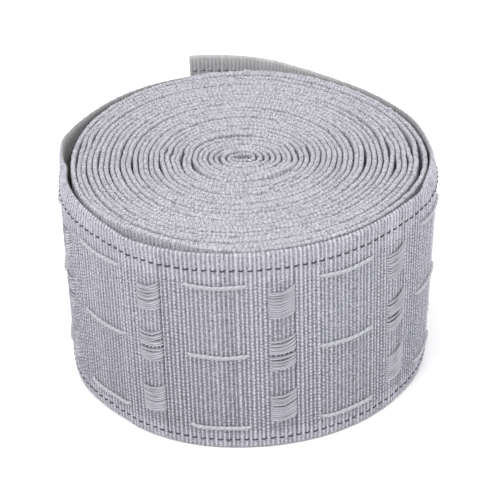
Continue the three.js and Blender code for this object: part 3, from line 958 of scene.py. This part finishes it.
def pocket_thread(start, width, level, climb, share):
    """One satin thread over a pocket: it sags from its left end, least at the top and foot of
    the block and most in its middle, and its right half climbs, ever more steeply, to the end
    where it dives into the slit."""
    u = np.linspace(0, 1, THREAD_STATIONS)
    length = start + u * (width + REACHES_SLIT)
    sag = THREAD_SAG + MIDDLE_SAG * (4 * share * (1 - share)) ** 0.7
    sag = sag + rng.normal(0, THREADS_DIFFER["sag"])
    climb = climb + rng.normal(0, THREADS_DIFFER["climb"])
    climbed = np.clip((u - CLIMBS_FROM) / (1 - CLIMBS_FROM), 0, 1) ** CLIMB_STEEPENS
    height = level + climb * climbed - sag * np.sin(np.pi * u**0.75)
    ends = np.minimum(1, np.minimum(u / RISES_OVER, (1 - u) / DIVES_OVER))
    rise = (THREAD_RISE + rng.normal(0, THREADS_DIFFER["rise"])) * np.sin(ends * np.pi / 2)
    out = rise - THREAD_DEPTH + THREAD_BULGE * np.sin(np.pi * u)
    radius = THREAD_RADIUS * (THREAD_THIN_END + (1 - THREAD_THIN_END) * ends)
    radius = radius * (1 + rng.normal(0, THREADS_DIFFER["radius"]))
    grid, uv = yarn(length, height, out, radius, around=10, flat=0.7, twist=0.3, lobes=0.06)
    uv = uv + np.array([rng.uniform(0, WEAVE_LENGTH), 0.0])
    return grid, uv


def pocket_column(k):
    """All the satin threads of one pocket column, block by block."""
    start = FIRST_POCKET + k * REPEAT
    width = POCKET_RIBS * RIB_PITCH
    strands = []
    for block in POCKET_BLOCKS:
        low, high = block["low"] + BLOCK_MARGIN, block["high"] - BLOCK_MARGIN
        for share in np.linspace(0, 1, block["threads"]):
            level = low + share * (high - low)
            climb = block["climb_low"] + share * (block["climb_high"] - block["climb_low"])
            strands.append(pocket_thread(start, width, level, climb, share))
    return strands


for k in range(POCKET_COUNT):
    column = yarn_piece(f"pocket_threads_{k + 1}", pocket_column(k), POCKET_YARN)
    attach(column, "root")


GUIDE_STEPS_PER_RIB = 8
GUIDE_RADIUS = 0.17
GUIDE_SWELLS = 0.09
GUIDE_BULGE = 0.06
GUIDE_SAG = 0.12
GUIDE_SWAY = 0.1
GUIDE_STANDS_OFF = 0.02
GUIDE_TURNS = 5.0
GUIDE_SHOWS_MORE = 0.3
GUIDE_STOPS_SHORT = 0.3


def guide_thread(height):
    """A guide thread weaves along the tape: over one rib on the outer face, bulging a little,
    through the tape in the valley, and over the next rib on the inner face."""
    start, end = LOOSE_RUN[0] + START_CLEAR, LOOSE_END - GUIDE_STOPS_SHORT
    length = np.arange(start, end, RIB_PITCH / GUIDE_STEPS_PER_RIB)
    rib = (length - FIRST_POCKET) / RIB_PITCH
    wave = np.cos(np.pi * (rib - 0.5))
    over = np.clip(wave, 0, 1)
    side = np.tanh(GUIDE_TURNS * (wave + GUIDE_SHOWS_MORE))
    out = -THICKNESS / 2 + side * (THICKNESS / 2 + GUIDE_STANDS_OFF) + GUIDE_BULGE * over
    sway = GUIDE_SWAY * (np.sin(np.pi * (rib - 0.5)) + np.sin(rib * 0.9))
    level = height - GUIDE_SAG * over + sway
    return yarn(length, level, out, GUIDE_RADIUS + GUIDE_SWELLS * over, around=6)


for row, height in GUIDE_HEIGHTS.items():
    thread = yarn_piece(f"guide_{row}", [guide_thread(height)], GUIDE_YARN)
    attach(thread, "root")


# Floor, light and camera

FLOOR_HALF = 1500.0
WORLD_STRENGTH = 0.58


def pale_floor():
    """A plain square of floor, its corners half its width out from the middle both ways."""
    half = FLOOR_HALF
    points = np.array([[-half, -half, 0], [half, -half, 0], [half, half, 0], [-half, half, 0]])
    corners = np.array([[0, 1, 2, 3]])
    return mesh_object("floor", points, corners, points[:, :2] * MM, [plain_floor()])


pale_floor()


def area_light(name, place, aim, size, power):
    """A white square lamp at a place, turned so that its beam runs towards the aim."""
    light = bpy.data.lights.new(name, "AREA")
    light.shape = "SQUARE"
    light.size = size
    light.energy = power
    lamp = bpy.data.objects.new(name, light)
    lamp.location = place
    lamp.rotation_euler = (Vector(aim) - Vector(place)).to_track_quat("-Z", "Y").to_euler()
    bpy.context.scene.collection.objects.link(lamp)


middle = (0.0, 0.0, 0.04)
area_light("key", (-0.72, -0.53, 1.0), middle, 0.8, 12.0)
area_light("top", (0.1, -0.1, 1.1), middle, 0.7, 8.0)
area_light("right_fill", (0.95, -0.35, 0.45), middle, 0.8, 5.0)

world = bpy.data.worlds.new("studio")
world.use_nodes = True
background = world.node_tree.nodes["Background"]
background.inputs["Color"].default_value = (1, 1, 1, 1)
background.inputs["Strength"].default_value = WORLD_STRENGTH
bpy.context.scene.world = world
bpy.context.scene.view_settings.view_transform = "Standard"

# The camera: the photo's angle above the horizon, its distance and its turn about its own sight
CAMERA_ELEVATION = 34.411
CAMERA_DISTANCE = 666.32
CAMERA_ROLL = -0.0326
CAMERA_AIM = np.array([0.544, -2.451, 35.622])
FOCAL_PIXELS = 2000.0
FRAME_PIXELS = 500.0
SENSOR = 36.0


def photo_camera():
    """The photo's camera: it stands back from its aim along a line tilted up by the elevation,
    and its sideways and upward directions are turned about that line."""
    tilt = np.radians(CAMERA_ELEVATION)
    back = np.array([0.0, -np.cos(tilt), np.sin(tilt)])
    right = np.array([1.0, 0.0, 0.0])
    up = np.cross(back, right)
    c, s = np.cos(CAMERA_ROLL), np.sin(CAMERA_ROLL)
    right, up = c * right + s * up, -s * right + c * up
    data = bpy.data.cameras.new("camera")
    data.sensor_width = SENSOR
    data.lens = SENSOR * FOCAL_PIXELS / FRAME_PIXELS
    data.clip_start = 0.01
    data.clip_end = 20.0
    camera = bpy.data.objects.new("camera", data)
    place = (CAMERA_AIM + back * CAMERA_DISTANCE) * MM
    camera.matrix_world = Matrix(
        [[right[n], up[n], back[n], place[n]] for n in range(3)] + [[0, 0, 0, 1]]
    )
    bpy.context.scene.collection.objects.link(camera)
    bpy.context.scene.camera = camera


photo_camera()
